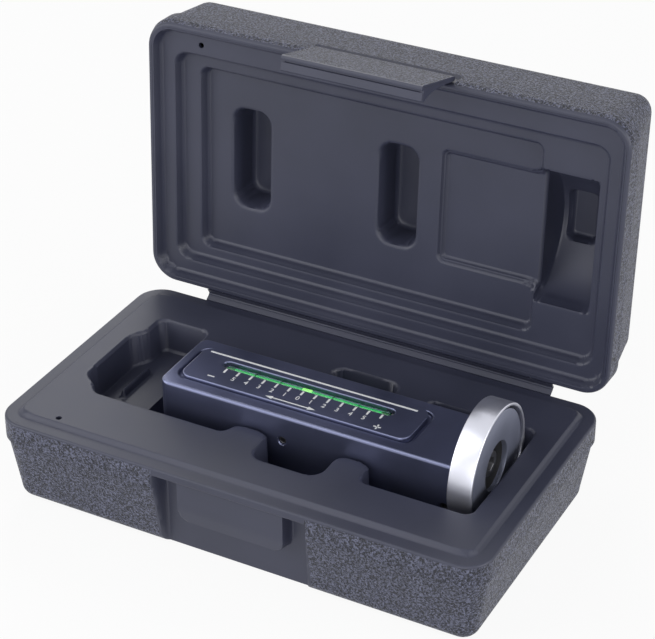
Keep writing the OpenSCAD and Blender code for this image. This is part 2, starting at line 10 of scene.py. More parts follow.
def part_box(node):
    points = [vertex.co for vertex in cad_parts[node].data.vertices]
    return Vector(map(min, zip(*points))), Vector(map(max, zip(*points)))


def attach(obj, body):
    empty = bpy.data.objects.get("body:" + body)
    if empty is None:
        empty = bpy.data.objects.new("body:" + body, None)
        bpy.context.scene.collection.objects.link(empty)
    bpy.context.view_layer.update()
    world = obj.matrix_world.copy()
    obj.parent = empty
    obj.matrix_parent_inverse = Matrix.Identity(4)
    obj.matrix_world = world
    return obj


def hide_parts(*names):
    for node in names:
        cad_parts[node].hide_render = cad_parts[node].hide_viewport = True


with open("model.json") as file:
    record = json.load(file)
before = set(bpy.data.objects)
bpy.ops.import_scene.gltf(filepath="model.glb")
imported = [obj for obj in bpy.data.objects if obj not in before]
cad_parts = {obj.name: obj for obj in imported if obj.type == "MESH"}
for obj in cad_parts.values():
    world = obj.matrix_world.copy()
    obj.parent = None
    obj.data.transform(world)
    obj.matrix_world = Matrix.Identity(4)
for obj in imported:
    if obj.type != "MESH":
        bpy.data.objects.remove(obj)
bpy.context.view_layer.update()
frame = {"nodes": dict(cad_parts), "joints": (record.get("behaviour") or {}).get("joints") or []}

# ---------- camera, floor and light ----------
# The open case is seen from its latch side, a little from the right and from above, through a long lens.
# It stands on a pale floor in a white tent, with soft boxes at its left, front, right and back. A small one
# over its left front draws the thin highlights along the gauge's edges.
scene = bpy.context.scene
scene.view_settings.view_transform = "Standard"


def added(name, data):
    """A new object in the scene that holds those data."""
    item = bpy.data.objects.new(name, data)
    scene.collection.objects.link(item)
    return item


camera = added("camera", bpy.data.cameras.new("camera"))
camera.location = (0.32455, -0.59019, 0.49063)
looked_at = Vector((0.01206, -0.0005, 0.0831))
camera.rotation_euler = (looked_at - camera.location).to_track_quat("-Z", "Y").to_euler()
camera.data.lens = 117.9
camera.data.sensor_width = 36
camera.data.clip_start = 0.01
scene.camera = camera

for name, place, size, watts in (
        ("left_softbox", (-0.95, -0.75, 0.46), 0.8, 6), ("edge_softbox", (-0.47, -0.54, 1.04), 0.6, 2.2),
        ("front_softbox", (0.40, -1.15, 0.34), 0.7, 5.5), ("right_softbox", (1.05, -0.05, 0.40), 0.6, 5),
        ("back_softbox", (-0.45, 0.9, 0.95), 0.5, 4.5)):
    light = bpy.data.lights.new(name, "AREA")
    light.shape = "SQUARE"
    light.size = size
    light.energy = watts
    lamp = added(name, light)
    lamp.location = place
    lamp.rotation_euler = (looked_at - Vector(place)).to_track_quat("-Z", "Y").to_euler()


def seen_directly(tree):
    """1 for rays from the camera and for those mirrored or bent on the way, else 0."""
    path = tree.nodes.new("ShaderNodeLightPath")
    total = path.outputs["Is Camera Ray"]
    for ray in ("Is Glossy Ray", "Is Transmission Ray"):
        larger = tree.nodes.new("ShaderNodeMath")
        larger.operation = "MAXIMUM"
        tree.links.new(total, larger.inputs[0])
        tree.links.new(path.outputs[ray], larger.inputs[1])
        total = larger.outputs[0]
    return total


def shown(tree, output, lighting, direct, share):
    """Lets one shader light the scene and shows the other, in that share, to rays that see it directly."""
    amount = tree.nodes.new("ShaderNodeMath")
    amount.operation = "MULTIPLY"
    amount.inputs[1].default_value = share
    mix = tree.nodes.new("ShaderNodeMixShader")
    tree.links.new(seen_directly(tree), amount.inputs[0])
    tree.links.new(amount.outputs[0], mix.inputs[0])
    tree.links.new(lighting.outputs[0], mix.inputs[1])
    tree.links.new(direct.outputs[0], mix.inputs[2])
    tree.links.new(mix.outputs[0], tree.nodes[output].inputs["Surface"])


world = bpy.data.worlds.new("tent")
world.use_nodes = True
scene.world = world
tent = world.node_tree
tent_light = tent.nodes["Background"]
tent_light.inputs["Color"].default_value = (0.95, 0.97, 1.0, 1)
tent_light.inputs["Strength"].default_value = 0.29
tent_backdrop = tent.nodes.new("ShaderNodeBackground")
tent_backdrop.inputs["Color"].default_value = (1, 1, 1, 1)
tent_backdrop.inputs["Strength"].default_value = 1.0
shown(tent, "World Output", tent_light, tent_backdrop, 1.0)

floor_half = 6.0
floor_corners = [(x * floor_half, y * floor_half, 0) for x, y in ((-1, -1), (1, -1), (1, 1), (-1, 1))]
floor_mesh = bpy.data.meshes.new("floor")
floor_mesh.from_pydata(floor_corners, [], [(0, 1, 2, 3)])
floor = added("floor", floor_mesh)
floor_paint = bpy.data.materials.new("floor_paint")
floor_paint.use_nodes = True
paint = floor_paint.node_tree
paper = paint.nodes["Principled BSDF"]
paper.inputs["Base Color"].default_value = (0.8, 0.8, 0.8, 1)
paper.inputs["Roughness"].default_value = 0.9
glow = paint.nodes.new("ShaderNodeEmission")
glow.inputs["Strength"].default_value = 1.0
shown(paint, "Material Output", paper, glow, 0.92)
floor_mesh.materials.append(floor_paint)

# ---------- base shell ----------
# The outside of the case's lower half: a blow-moulded skin with a straight band at the rim, drafted walls and
# rounded bottom edges. A smooth recess with a raised pad takes the latch. Leather grain covers the walls.


def to_mm(corner):
    return np.array(corner) * 1000


shell_low, shell_high = (to_mm(c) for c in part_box("base_shell"))
case_l = shell_high[0] - shell_low[0]
case_w = shell_high[1] - shell_low[1]
rim_z = shell_high[2]
corner_r = 11.0
straight = case_l / 2 - corner_r
skin = 1.6
band_h = 9.5
band_step = 0.8
rim_round = 1.0
rim_gap = 0.06
draft = math.radians(9)
base_edge_r = 5.0
stand_h = 0.6
grain_start = 1.6


def wall_profile(height, edge_r, t):
    """Depth below the rim and inset of the drafted wall, t further in, from the rim to the closed side."""
    r = max(edge_r - t, 1)
    deep = height - t
    if t == 0:
        turn = np.linspace(0, math.pi / 2, 6)
        points = [(rim_round * (1 - math.cos(a)), rim_round * (1 - math.sin(a))) for a in turn]
    else:
        points = [(0, t)]
    # the latch recess starts and its pad ends between these depths, so their rings lie close together
    points += [(d, t) for d in np.arange(2.4, 6, 0.3)] + [(7, t), (8, t), (band_h - 0.3, t)]
    points += [(band_h, t + 0.15), (band_h + 0.2, t + 0.5), (band_h + 0.6, t + band_step + 0.05)]
    start, stop = band_h + 1.5, deep - r
    steps = np.unique(np.concatenate([np.arange(start, stop, 1.5), np.arange(19.5, min(24.0, stop), 0.4)]))
    slope = math.tan(draft)
    points += [(d, band_step + (d - band_h) * slope + t) for d in steps]
    foot = band_step + (stop - band_h) * slope + t
    for a in np.linspace(draft, math.pi / 2, 9):
        points.append((stop + r * math.sin(a), foot + 0.9 * r * (1 - math.cos(a))))
    return points + [(points[-1][0], points[-1][1] + 1.0)]


def case_ring(inset, z, front):
    """Points round the case's plan, drawn in by inset; front holds the latch side's y for each front_x."""
    a, b, r = case_l / 2 - inset, case_w / 2 - inset, max(corner_r - inset, 1)
    y_front = front[0]
    points = list(zip(front_x * (a - r) / straight, front))
    arc = np.linspace(0, math.pi / 2, 13)[1:-1]
    points += [(a - r + r * math.sin(u), y_front + r - r * math.cos(u)) for u in arc]
    points += [(a, y) for y in np.linspace(y_front + r, b - r, 16)]
    points += [(a - r + r * math.cos(u), b - r + r * math.sin(u)) for u in arc]
    points += [(x, b) for x in np.linspace(a - r, r - a, 30)]
    points += [(r - a - r * math.sin(u), b - r + r * math.cos(u)) for u in arc]
    points += [(-a, y) for y in np.linspace(b - r, y_front + r, 16)]
    points += [(r - a - r * math.cos(u), y_front + r - r * math.sin(u)) for u in arc]
    return np.array([(x, y, z) for x, y in points])


def new_mesh(name, vertices_mm, faces):
    mesh = bpy.data.meshes.new(name)
    mesh.from_pydata((np.asarray(vertices_mm) * 0.001).tolist(), [], faces)
    mesh.validate()
    bm = bmesh.new()
    bm.from_mesh(mesh)
    bmesh.ops.recalc_face_normals(bm, faces=bm.faces)
    bm.to_mesh(mesh)
    bm.free()
    return mesh


def final_mesh(item):
    """The mesh of an object as its modifiers leave it; the object itself is removed."""
    mesh = bpy.data.meshes.new_from_object(item.evaluated_get(bpy.context.evaluated_depsgraph_get()))
    bpy.data.objects.remove(item)
    return mesh


def new_piece(name, mesh, body, materials, sharp=50, node=None):
    """A piece from a mesh, smooth up to the sharp angle, on a body. It may replace a node."""
    mesh.polygons.foreach_set("use_smooth", [True] * len(mesh.polygons))
    mesh.set_sharp_from_angle(angle=math.radians(sharp))
    for material in materials:
        mesh.materials.append(material)
    piece = added(name, mesh)
    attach(piece, body)
    if node:
        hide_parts(node)


def form_piece(name, form, body, material, sharp=50, node=None, move=Matrix()):
    """A piece of one material from a form's vertices and faces, moved to its place."""
    mesh = new_mesh(name, *form)
    mesh.transform(move)
    new_piece(name, mesh, body, [material], sharp, node)


def loft(rings, caps=True):
    """Vertices and faces of a closed form through rings of equal length, with a flat cap at each end."""
    count = len(rings[0])
    faces = []
    for i in range(len(rings) - 1):
        for j in range(count):
            k = (j + 1) % count
            faces.append((i * count + j, i * count + k, (i + 1) * count + k, (i + 1) * count + j))
    if caps:
        faces.append(tuple(range(count)))
        faces.append(tuple(range((len(rings) - 1) * count, len(rings) * count)))
    return np.concatenate(rings), faces


def step_up(value, low, high):
    """0 below low, 1 above high, and an even curve between."""
    u = np.clip((value - low) / (high - low), 0, 1)
    return u * u * (3 - 2 * u)


def box_distance(x, y, x0, x1, y0, y1, r):
    """Distance to a rounded rectangle, negative inside it."""
    qx = np.abs(x - (x0 + x1) / 2) - (x1 - x0) / 2 + r
    qy = np.abs(y - (y0 + y1) / 2) - (y1 - y0) / 2 + r
    return np.hypot(np.maximum(qx, 0), np.maximum(qy, 0)) + np.minimum(np.maximum(qx, qy), 0) - r


def shaded(name, color, roughness, metallic=0.0, **inputs):
    """A material with one principled shader; further inputs are named with _ for each space."""
    material = bpy.data.materials.new(name)
    material.use_nodes = True
    bsdf = material.node_tree.nodes["Principled BSDF"]
    bsdf.inputs["Base Color"].default_value = (*color, 1)
    bsdf.inputs["Roughness"].default_value = roughness
    bsdf.inputs["Metallic"].default_value = metallic
    for key, value in inputs.items():
        bsdf.inputs[key.replace("_", " ")].default_value = value
    return material


def pattern(material, kind, scale, stretch=(1, 1, 1), **settings):
    """Value of a noise or cell texture on the piece's own coordinates."""
    nodes, links = material.node_tree.nodes, material.node_tree.links
    place = nodes.new("ShaderNodeTexCoord")
    mapping = nodes.new("ShaderNodeMapping")
    mapping.inputs["Scale"].default_value = stretch
    texture = nodes.new("ShaderNodeTexNoise" if kind == "noise" else "ShaderNodeTexVoronoi")
    texture.inputs["Scale"].default_value = scale
    for key, value in settings.items():
        if key == "feature":
            texture.feature = value
        else:
            texture.inputs[key.capitalize()].default_value = value
    links.new(place.outputs["Object"], mapping.inputs["Vector"])
    links.new(mapping.outputs[0], texture.inputs["Vector"])
    return texture.outputs["Fac"] if kind == "noise" else texture.outputs["Distance"]


def ranged(material, value, low, high, to_low=0.0, to_high=1.0):
    spread = material.node_tree.nodes.new("ShaderNodeMapRange")
    for key, number in zip(("From Min", "From Max", "To Min", "To Max"), (low, high, to_low, to_high)):
        spread.inputs[key].default_value = number
    material.node_tree.links.new(value, spread.inputs["Value"])
    return spread.outputs[0]


def tinted(material, value, color_low, color_high):
    """Drives the base colour from one colour to another."""
    nodes, links = material.node_tree.nodes, material.node_tree.links
    mix = nodes.new("ShaderNodeMix")
    mix.data_type = "RGBA"
    mix.inputs["A"].default_value = (*color_low, 1)
    mix.inputs["B"].default_value = (*color_high, 1)
    links.new(value, mix.inputs["Factor"])
    links.new(mix.outputs["Result"], nodes["Principled BSDF"].inputs["Base Color"])


def roughened(material, value, low, high):
    roughness = material.node_tree.nodes["Principled BSDF"].inputs["Roughness"]
    material.node_tree.links.new(ranged(material, value, 0.3, 0.7, low, high), roughness)


def bumped(material, value, height_mm, strength=1.0):
    """Adds a bump of that height, over any bump that is there."""
    nodes, links = material.node_tree.nodes, material.node_tree.links
    bump = nodes.new("ShaderNodeBump")
    bump.inputs["Distance"].default_value = height_mm * 0.001
    bump.inputs["Strength"].default_value = strength
    links.new(value, bump.inputs["Height"])
    normal = nodes["Principled BSDF"].inputs["Normal"]
    if normal.is_linked:
        links.new(normal.links[0].from_socket, bump.inputs["Normal"])
    links.new(bump.outputs[0], normal)


# charcoal plastic with a coarse leather grain; its ridges are painted paler, a painted highlight of light
# grazing the grain
grain = shaded("grained_plastic", (0.06, 0.064, 0.095), 0.45)
crinkle = pattern(grain, "noise", 1300, detail=2.0, roughness=0.5, distortion=0.5)
creases = pattern(grain, "cells", 950, feature="DISTANCE_TO_EDGE", randomness=1.0)
# painted highlight: the crinkle noise tints the ridges paler, in place of light that grazes them
tinted(grain, ranged(grain, crinkle, 0.42, 0.60), (0.011, 0.0125, 0.024), (0.138, 0.148, 0.228))
roughened(grain, crinkle, 0.55, 0.36)
bumped(grain, ranged(grain, creases, 0.0, 0.35), 0.25)
bumped(grain, crinkle, 2.0)

# the same plastic where the mould is smooth: a satin face with faint flow marks
smooth = shaded("moulded_plastic", (0.033, 0.036, 0.060), 0.42)
flow = pattern(smooth, "noise", 28, detail=3.0)
tinted(smooth, ranged(smooth, flow, 0.3, 0.7), (0.028, 0.031, 0.054), (0.037, 0.040, 0.068))
roughened(smooth, flow, 0.42, 0.5)
bumped(smooth, pattern(smooth, "noise", 2600, detail=1.0), 0.012)
bumped(smooth, pattern(smooth, "noise", 55, detail=2.0), 0.16, 0.5)

latch_x = 0.5
recess_half = 32.5
recess_ramp = 3.2
recess_top = 3.2
recess_d = 7.5
pad_half = 22.0
pad_top = 4.0
pad_bottom = 21.5
pad_front = 1.8
pad_r = 5.0
pad_ramp = 1.1


def near(places, reach, step):
    """Places and their surroundings, close together."""
    return np.concatenate([np.arange(p - reach, p + reach + step / 2, step) for p in places])


front_x = np.concatenate([
    np.linspace(-straight, straight, 45),
    near([latch_x - recess_half + 1.5, latch_x + recess_half - 1.5], 2.4, 0.4),
    near([latch_x - pad_half, latch_x + pad_half], 1.6, 0.32),
    near([latch_x - pad_half + 3, latch_x + pad_half - 3], 2.4, 0.8)])
front_x = np.unique(np.round(front_x, 2))


def latch_recess(x, depth):
    """How far the latch recess and its pad lie behind the rim's plane."""
    side = step_up(recess_half - np.abs(x - latch_x), 0, recess_ramp)
    hollow = recess_d * side * step_up(depth, recess_top, recess_top + 1.0)
    plate = box_distance(x, depth, latch_x - pad_half, latch_x + pad_half, pad_top - 10, pad_bottom, pad_r)
    raised = step_up(-plate, -pad_ramp, 0) * step_up(depth, recess_top + 0.4, recess_top + 1.4)
    return hollow * (1 - raised) + np.minimum(hollow, pad_front) * raised


def base_front(inset, depth, t):
    recess = latch_recess(front_x, depth)
    return np.maximum(-case_w / 2 + inset, -case_w / 2 + np.where(recess > 0.05, recess + t, 0))


def skin_mesh(name, height, edge_r, front_of, up, is_grained):
    """Outside and inside of half the case as one closed skin; up is 1 on the lid and -1 on the base.

    Its material is the first, the grain, where is_grained says so of a face's middle, in mm, and normal.
    """
    rings = []
    for t in (skin, 0.0):
        wall = [case_ring(inset, rim_z + up * max(d, rim_gap), front_of(inset, d, t))
                for d, inset in wall_profile(height, edge_r, t)]
        rings += wall[::-1] if t > 0 else wall
    mesh = new_mesh(name, *loft(rings))
    for polygon in mesh.polygons:
        polygon.material_index = 0 if is_grained(polygon.center * 1000, polygon.normal) else 1
    return mesh


def outer_face(middle, normal):
    """Whether a face looks outward and lies clear of the rim; its middle and normal are in mm."""
    outward = normal.dot(Vector((middle.x, middle.y * 1.8, middle.z - rim_z)))
    return outward > 0 and abs(middle.z - rim_z) > grain_start


def base_is_grained(middle, normal):
    depth = rim_z - middle.z
    hollow = float(latch_recess(np.array([middle.x]), depth)[0])
    over_recess = abs(middle.x - latch_x) < recess_half - 0.6 and depth < recess_top + 1
    in_recess = middle.y < -case_w / 2 + recess_d + 1 and (hollow > 0.4 or over_recess)
    return outer_face(middle, normal) and not in_recess


base_h = rim_z - stand_h
shell_mesh = skin_mesh("base_shell_skin", base_h, base_edge_r, base_front, -1, base_is_grained)
new_piece("base_shell_skin", shell_mesh, "case", [grain, smooth], node="base_shell")

# ---------- stand plate ----------
# The flat plate under the base on which the case stands. It is moulded in one with the skin, and has a small
# chamfer round its foot.
plate_inset = band_step + (base_h - base_edge_r - band_h) * math.tan(draft) + base_edge_r + 1
plate_r = 4.0
plate_t = stand_h + 0.2
plate_edge = 0.3


def rounded_plate(x0, x1, y0, y1, r, z1, edge):
    """A flat plate from the floor to z1, with rounded corners and a chamfer round its lower face."""
    corners = ((x1 - r, y0 + r, -90), (x1 - r, y1 - r, 0), (x0 + r, y1 - r, 90), (x0 + r, y0 + r, 180))
    rings = []
    for z, inset in ((0, edge), (edge, 0), (z1, 0)):
        rings.append(np.array([(cx + (r - inset) * math.cos(u), cy + (r - inset) * math.sin(u), z)
                               for cx, cy, first in corners
                               for u in np.linspace(0, math.pi / 2, 9) + math.radians(first)]))
    return loft(rings)


plate_y0 = -case_w / 2 + max(plate_inset, recess_d + 1)
plate = rounded_plate(-case_l / 2 + plate_inset, case_l / 2 - plate_inset, plate_y0,
                      case_w / 2 - plate_inset, plate_r, plate_t, plate_edge)
form_piece("stand_plate", plate, "case", smooth)

# ---------- tray ----------
# The inner skin of the base, one blow-moulded sheet. It has a ledge round the rim, a raised deck, the gauge's
# pocket with finger scoops and the magnet's bay, an accessory bay with a rib, and a blow vent.
tray_low, tray_high = (to_mm(c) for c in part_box("base_tray"))
body_low, body_high = (to_mm(c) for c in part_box("gauge_housing"))
deck_h = tray_high[2] - rim_z + rim_gap
foot_z = tray_low[2] + skin
bay_floor = rim_z - 12.5
grid_level = 0.6
gauge_y = (body_low[1] + body_high[1]) / 2
body_w = body_high[1] - body_low[1]
body_x0, body_x1 = body_low[0], body_high[0]
mid_x = (body_x0 + body_x1) / 2 - 8.5
cup_l = 9.6


def joined(distances, blend):
    """Union of plans whose meeting corners are rounded over blend."""
    total = distances[0]
    for other in distances[1:]:
        h = np.maximum(blend - np.abs(total - other), 0) / blend
        total = np.minimum(total, other) - h * h * blend / 4
    return total


def moulded_drop(inside, height, draw=0.6, round_r=1.2):
    """Depth at a distance inside a plan: rounded top edge, a wall that draws outward, and a filleted foot."""
    edge = np.minimum(round_r, height / 2)
    top = np.clip((inside + draw + round_r) / round_r, 0, 1)
    wall = np.clip((inside + draw) / draw, 0, 1)
    foot = 1 - np.clip(inside / round_r, 0, 1)
    return (edge * (1 - np.sqrt(1 - top * top)) + wall * np.maximum(height - 2 * edge, 0)
            + edge * np.where(inside > 0, np.sqrt(np.maximum(1 - foot * foot, 0)), 0))


def moulding_lines(low, high, walls, fine=0.42, reach=2.7, coarse=3.0):
    """Grid lines from low to high, close together near each wall."""
    spans = sorted((max(w - reach, low), min(w + reach, high)) for w in walls if low < w < high)
    merged = [list(spans[0])]
    for start, stop in spans[1:]:
        if start <= merged[-1][1] + 1:
            merged[-1][1] = max(merged[-1][1], stop)
        else:
            merged.append([start, stop])
    lines, at = [np.array([low])], low
    for start, stop in merged + [[high, high]]:
        if start > at:
            lines.append(np.linspace(at, start, math.ceil((start - at) / coarse) + 1)[1:])
        if stop > start:
            lines.append(np.linspace(start, stop, math.ceil((stop - start) / fine) + 1)[1:])
        at = stop
    return np.concatenate(lines)


def pull(x, y, distance, target, active):
    """Moves points along a distance field until it has the target value, where active."""
    for _ in range(3):
        d = distance(x, y)
        step = 0.01
        gx = (distance(x + step, y) - d) / step
        gy = (distance(x, y + step) - d) / step
        length = np.maximum(gx * gx + gy * gy, 0.2)
        move = np.where(active, target - d, 0)
        x, y = x + move * gx / length, y + move * gy / length
    return x, y


def case_plan(x, y, inset, r):
    """Distance to the case's plan drawn in by inset."""
    half_l, half_w = case_l / 2 - inset, case_w / 2 - inset
    return box_distance(x, y, -half_l, half_l, -half_w, half_w, r)


def moulded_sheet(x_walls, y_walls, plans, vent, height, below):
    """A moulded sheet with thickness, over a grid whose points are drawn onto the edges of the plans."""
    def outside(x, y):
        return np.maximum(case_plan(x, y, skin, corner_r - skin), vent_r - np.hypot(x - vent[0], y - vent[1]))

    lines = []
    for half, walls, hole in ((case_l / 2 - skin, x_walls, vent[0]), (case_w / 2 - skin, y_walls, vent[1])):
        lines.append(moulding_lines(-half, half, walls + [1 - half, half - 1, hole]))
    x, y = np.meshgrid(*lines, indexing="ij")
    free = np.ones(x.shape, bool)
    for plan in plans:
        inside = -plan(x, y)
        close = free & (inside > -2.1) & (inside < 1.5)
        x, y = pull(x, y, plan, -np.round(inside / grid_level) * grid_level, close)
        free &= inside < -2.1
    beyond = outside(x, y) > 0
    x, y = pull(x, y, outside, 0.0, beyond)
    kept = ~(beyond[:-1, :-1] & beyond[1:, :-1] & beyond[1:, 1:] & beyond[:-1, 1:])
    n, m = x.shape
    index = np.arange(n * m).reshape(n, m)
    corners = np.stack([index[:-1, :-1], index[1:, :-1], index[1:, 1:], index[:-1, 1:]], axis=-1)[kept]
    sides = {}
    for cell in corners.tolist():
        for a, b in zip(cell, cell[1:] + cell[:1]):
            if (b, a) in sides:
                del sides[(b, a)]
            else:
                sides[(a, b)] = True
    faces = corners.tolist() + (corners[:, ::-1] + n * m).tolist()
    faces += [(b, a, a + n * m, b + n * m) for a, b in sides]
    used = np.unique(np.concatenate([corners.ravel(), corners.ravel() + n * m]))
    compact = np.full(2 * n * m, -1)
    compact[used] = np.arange(len(used))
    vertices = np.concatenate([
        np.stack([x.ravel(), y.ravel(), z.ravel()], axis=1) for z in (height(x, y), below(x, y))])[used]
    return vertices, [tuple(compact[list(face)].tolist()) for face in faces]


deck_inset = 6.0
vent_r = 1.2
tray_vent = (-case_l / 2 + 23.5, -case_w / 2 + 9.5)
bay_x0 = body_x0 - 32
half_body = body_w / 2
side_y = half_body + 7.3
pocket_rects = [
    (body_x0 - 8, body_x1 + 8, gauge_y - half_body - 0.4, gauge_y + half_body + 0.4, 1.5),
    (body_x0 - 10, body_x0 + 33, gauge_y - side_y, gauge_y + side_y, 3),
    (mid_x - 3.5, mid_x + 23.5, gauge_y - 34, gauge_y + 34, 5),
    (body_x1 + cup_l - 41.2, body_x1 + cup_l + 1.8, gauge_y - 29, gauge_y + 29, 3),
]
bay_rects = [
    (bay_x0 - 1, body_x0 - 2.5, gauge_y - 17.5, gauge_y + 18.5, 5),
    (bay_x0 + 6, body_x0 - 2.5, gauge_y - 24.5, gauge_y, 5),
    (bay_x0 + 3, body_x0 - 8, gauge_y - 10, case_w / 2 - 24.7, 3),
]
rib = (bay_x0 + 6.3, bay_x0 + 8.7, gauge_y - 6, gauge_y + 14, 1.1)
rib_h = 3.5
low_draw = 0.6


def deck_plan(x, y):
    return case_plan(x, y, deck_inset, corner_r - deck_inset)


def plan_of(rects, blend=1.0):
    """A plan of rounded rectangles, joined over blend."""
    return lambda x, y: joined([box_distance(x, y, *rect) for rect in rects], blend)


pocket_plan, bay_plan, rib_plan = plan_of(pocket_rects, 5.0), plan_of(bay_rects, 6.0), plan_of([rib])


def tray_height(x, y, grow=0.0):
    deck = rim_z - rim_gap + moulded_drop(-deck_plan(x, y) - low_draw, deck_h, low_draw, low_draw)
    pocket = deck - moulded_drop(grow - pocket_plan(x, y), deck - foot_z)
    bay = deck - moulded_drop(grow - bay_plan(x, y), deck - bay_floor)
    bay = np.maximum(bay, bay_floor + moulded_drop(-rib_plan(x, y) - low_draw, rib_h, low_draw, low_draw))
    return np.minimum(pocket, bay)


def tray_below(x, y):
    return np.minimum(rim_z - skin, tray_height(x, y, skin) - skin)


def wall_places(rects, axis):
    """Where the rectangles' sides cross an axis: 0 for x and 1 for y."""
    return [side for rect in rects for side in rect[2 * axis:2 * axis + 2]]


tray_rects = pocket_rects + bay_rects + [rib]
tray_sheet = moulded_sheet(
    wall_places(tray_rects, 0) + [deck_inset - case_l / 2, case_l / 2 - deck_inset],
    wall_places(tray_rects, 1) + [deck_inset - case_w / 2, case_w / 2 - deck_inset],
    [rib_plan, pocket_plan, bay_plan, deck_plan], tray_vent, tray_height, tray_below)
form_piece("tray_sheet", tray_sheet, "case", smooth, node="base_tray")

# ---------- lid shell ----------
# The outside of the lid: the same skin and grain as the base, with rounder edges and a latch side that bulges
# past its rim. The bulge is cut away where the latch folds over it. It stands open at the hinge's limit.
hinge = next(j for j in frame["joints"] if j["name"] == "lid_hinge")
hinge_at = Vector(hinge["pos_m"])
opened = (Matrix.Translation(hinge_at)
          @ Matrix.Rotation(math.radians(-hinge["range_deg"][0]), 4, Vector(hinge["axis"]))
          @ Matrix.Translation(-hinge_at))
lid_h = 36.5
lid_edge_r = 8.0
lid_out = 1.3
latch_draft = math.radians(4)
notch_half = 30.0
notch_top = 7.5


def lid_front(inset, depth, _):
    """The latch side's y: level with the rim at its edge, then bulging, and flat under the latch."""
    slant = max(0.0, min(depth, lid_h - lid_edge_r) - band_h) * (math.tan(draft) - math.tan(latch_draft))
    bulge = (lid_out + slant) * step_up(depth, 0.3, 2.6)
    across = step_up(notch_half + 0.6 - np.abs(front_x - latch_x), 0, 1.0)
    flat = across * (1 - step_up(depth, notch_top - 0.6, notch_top + 0.4))
    return -case_w / 2 + inset - bulge * (1 - flat)


def lid_is_grained(middle, normal):
    under_latch = (middle.y < -case_w / 2 + 4 and abs(middle.x - latch_x) < notch_half
                   and middle.z < rim_z + notch_top)
    return outer_face(middle, normal) and not under_latch


lid_mesh = skin_mesh("lid_shell_skin", lid_h, lid_edge_r, lid_front, 1, lid_is_grained)
lid_mesh.transform(opened)
new_piece("lid_shell_skin", lid_mesh, "lid", [grain, smooth], node="lid_shell")

# ---------- lid liner ----------
# The inner skin of the lid: two steps down from the rim, a panel with two deep stiffening slots and a square
# recess over the gauge's body, and a round room with a small deeper pocket over the magnet.
axis_z = foot_z + 24.4
room_r = 28.0
room_x0 = body_x1 - 7
square_d = 14.5
step1_inset = 3.5
step2_rect = (11 - case_l / 2, case_l / 2 - 10, 13.5 - case_w / 2, case_w / 2 - 10.5, 5)
panel_rect = (20.5 - case_l / 2, case_l / 2 - 37.2, 19.5 - case_w / 2, case_w / 2 - 16.5, 3)
body_end_rect = (body_x1 - 12, room_x0 + 3, gauge_y - half_body - 2, gauge_y + half_body + 2, 1)
room_rect = (room_x0, room_x0 + 21, gauge_y - 27.6, gauge_y + 27.6, 2.5)
square_rect = (body_x1 - 49, room_x0 + 4, gauge_y - 23, gauge_y + 22.5, 2)
slot_rects = [(at, at + 14.6, gauge_y - 20.5, gauge_y + 20.5, 5) for at in (body_x0 - 16.4, mid_x - 5)]
sub_pocket_rect = (room_x0 + 3.5, room_x0 + 14, gauge_y - 11, gauge_y + 9, 2)
lid_vent = (-case_l / 2 + 22, -case_w / 2 + 8)


def lid_step1(x, y):
    return case_plan(x, y, step1_inset, corner_r - step1_inset)


lid_step2 = plan_of([step2_rect])
lid_panel = plan_of([panel_rect, body_end_rect], 3.0)
lid_room = plan_of([room_rect])
lid_square = plan_of([square_rect, room_rect], 6.0)
lid_slots = plan_of(slot_rects)
lid_sub_pocket = plan_of([sub_pocket_rect])


def liner_depth(x, y, grow=0.0):
    """Depth from the rim, plan by plan; the room is round over the magnet, and so is the square's end."""
    depth = np.zeros_like(x)
    round_room = axis_z - rim_z + np.sqrt(np.maximum(room_r ** 2 - (y - gauge_y) ** 2, 0))
    square_floor = np.where(x > room_x0, np.minimum(square_d, round_room), square_d)
    for plan, floor_depth, round_r in (
            (lid_step1, 4.0, 1.2), (lid_step2, 8.0, 1.2), (lid_panel, 12.0, 1.2),
            (lid_square, square_floor, 1.2), (lid_slots, 27.0, 1.8), (lid_room, round_room, 1.2),
            (lid_sub_pocket, lid_h - skin - 0.8, 1.2)):
        depth = depth + moulded_drop(grow - plan(x, y), np.maximum(floor_depth - depth, 0.0), 0.6, round_r)
    return depth


def liner_height(x, y):
    return rim_z + np.maximum(liner_depth(x, y), rim_gap)


def liner_back(x, y):
    return rim_z + np.minimum(liner_depth(x, y, skin) + skin, lid_h - 0.9)


lid_rects = [step2_rect, panel_rect, room_rect, sub_pocket_rect, *slot_rects]
step1_x, step1_y = case_l / 2 - step1_inset, case_w / 2 - step1_inset
liner_sheet = moulded_sheet(
    wall_places(lid_rects, 0) + [step1_x, -step1_x, square_rect[0], body_end_rect[0]],
    wall_places(lid_rects + [square_rect, body_end_rect], 1) + [step1_y, -step1_y],
    [lid_sub_pocket, lid_room, lid_slots, lid_square, lid_panel, lid_step2, lid_step1],
    lid_vent, liner_height, liner_back)
form_piece("liner_sheet", liner_sheet, "lid", smooth, node="lid_liner", move=opened)

# ---------- hinge leaves ----------
# The moulded strip that joins lid and base, pinched at two seams. Each has a leaf of it, thinned at the
# bending line, and a bead of plastic runs along that line.
leaf_t = 0.8
hinge_gap = 0.06
seams = (-67.8, 69.5)
seam_w = 0.3
seam_pinch = 0.3
bead_r = 0.55
bead_end_r = 0.35
hinge_y, hinge_z = hinge_at.y * 1000, hinge_at.z * 1000
hinge_x0, hinge_x1 = (to_mm(c)[0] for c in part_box("base_hinge_leaf"))


